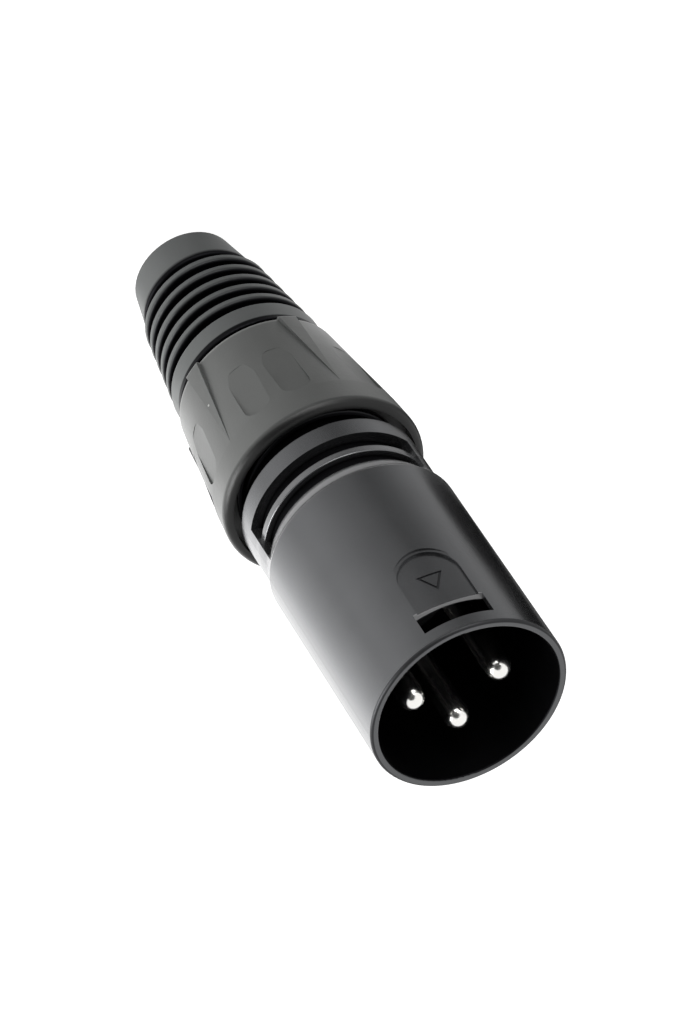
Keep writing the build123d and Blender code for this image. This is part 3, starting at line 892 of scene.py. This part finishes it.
def round_card(name, material, place, radius, turn=(0.0, 0.0, 0.0)):
    """Round card at a place, flat on the floor unless it is turned."""
    bpy.ops.object.select_all(action="DESELECT")
    bpy.ops.mesh.primitive_circle_add(
        vertices=CARD_SIDES, radius=radius, fill_type="NGON", location=place, rotation=turn)
    set_card(name, material)


def turn_to_plug(place):
    """Rotation of a lamp or card at a place, so that it faces the plug."""
    return (Vector(AIM) - Vector(place)).to_track_quat("-Z", "Y").to_euler()


def area_lamp(name, place, power):
    """Square soft lamp at a place, turned to the plug."""
    lamp = bpy.data.lights.new(name, "AREA")
    lamp.shape = "SQUARE"
    lamp.size = LAMP_SIZE
    lamp.energy = power
    holder = bpy.data.objects.new(name, lamp)
    bpy.context.scene.collection.objects.link(holder)
    holder.location = place
    holder.rotation_euler = turn_to_plug(place)
    holder.visible_camera = False


def place_camera(scene, studio):
    """The camera at the photograph's viewing angle."""
    camera = bpy.data.cameras.new("camera")
    camera.lens = studio.lens
    camera.clip_start, camera.clip_end = CLIP
    stand = bpy.data.objects.new("camera", camera)
    scene.collection.objects.link(stand)
    stand.location = studio.camera_place
    stand.rotation_euler = studio.camera_turn
    scene.camera = stand


class PLUG_OT_build_studio(bpy.types.Operator):
    """Set up the floor, the light, the reflection cards and the camera"""

    bl_idname = "plug.build_studio"
    bl_label = "Build Studio"

    def execute(self, context):
        scene = context.scene
        studio = scene.plug_studio
        bpy.ops.object.select_all(action="DESELECT")
        bpy.ops.mesh.primitive_plane_add(size=FLOOR_SIZE, location=(0, 0, BOOT_END - FLOOR_GAP))
        floor = new_piece("floor")
        floor.data.materials.append(paper_material("white_paper", PAPER_GREY, PAPER_GLOW))
        white_world(studio.ambient)
        area_lamp("side_lamp", SIDE_LAMP_PLACE, studio.key_power)
        area_lamp("front_lamp", FRONT_LAMP_PLACE, studio.fill_power)
        round_card("floor_levels", bearing_material("floor_levels_levels", FLOOR_LEVELS),
                   (0.0, 0.0, DISC_HEIGHT), DISC_RADIUS)
        for card in FLOOR_CARDS:
            floor_card(*card)
        for name, place, radius, level in ROUND_CARDS:
            round_card(name, card_material(name + "_grey", level), place, radius, turn_to_plug(place))
        place_camera(scene, studio)
        scene.view_settings.view_transform = "Standard"
        return {"FINISHED"}


# sidebar and start

class PLUG_PT_sidebar(bpy.types.Panel):
    """Steps of the plug in the order in which they are run, and their settings"""

    bl_idname = "PLUG_PT_sidebar"
    bl_label = "Round Cable Plug"
    bl_space_type = "VIEW_3D"
    bl_region_type = "UI"
    bl_category = "Plug"

    def draw(self, context):
        for step in STEPS:
            self.layout.operator(step.bl_idname)
        for name, group in SETTINGS.items():
            box = self.layout.box()
            values = getattr(context.scene, name)
            for label in group.__annotations__:
                box.prop(values, label)


SETTINGS = {
    "plug_shell": ShellFinish,
    "plug_moulded": MouldedFinish,
    "plug_contacts": ContactFinish,
    "plug_thread": ThreadSizes,
    "plug_studio": StudioSettings,
}
STEPS = (
    PLUG_OT_finish_housing,
    PLUG_OT_finish_mouldings,
    PLUG_OT_finish_boot,
    PLUG_OT_finish_contacts,
    PLUG_OT_cut_threads,
    PLUG_OT_build_studio,
)


def register():
    for name, group in SETTINGS.items():
        bpy.utils.register_class(group)
        setattr(bpy.types.Scene, name, bpy.props.PointerProperty(type=group))
    for step in STEPS:
        bpy.utils.register_class(step)
    bpy.utils.register_class(PLUG_PT_sidebar)


def unregister():
    bpy.utils.unregister_class(PLUG_PT_sidebar)
    for step in reversed(STEPS):
        bpy.utils.unregister_class(step)
    for name, group in reversed(SETTINGS.items()):
        delattr(bpy.types.Scene, name)
        bpy.utils.unregister_class(group)


def main():
    register()
    bpy.ops.plug.finish_housing()
    bpy.ops.plug.finish_mouldings()
    bpy.ops.plug.finish_boot()
    bpy.ops.plug.finish_contacts()
    bpy.ops.plug.cut_threads()
    bpy.ops.plug.build_studio()


if __name__ == "__main__":
    main()
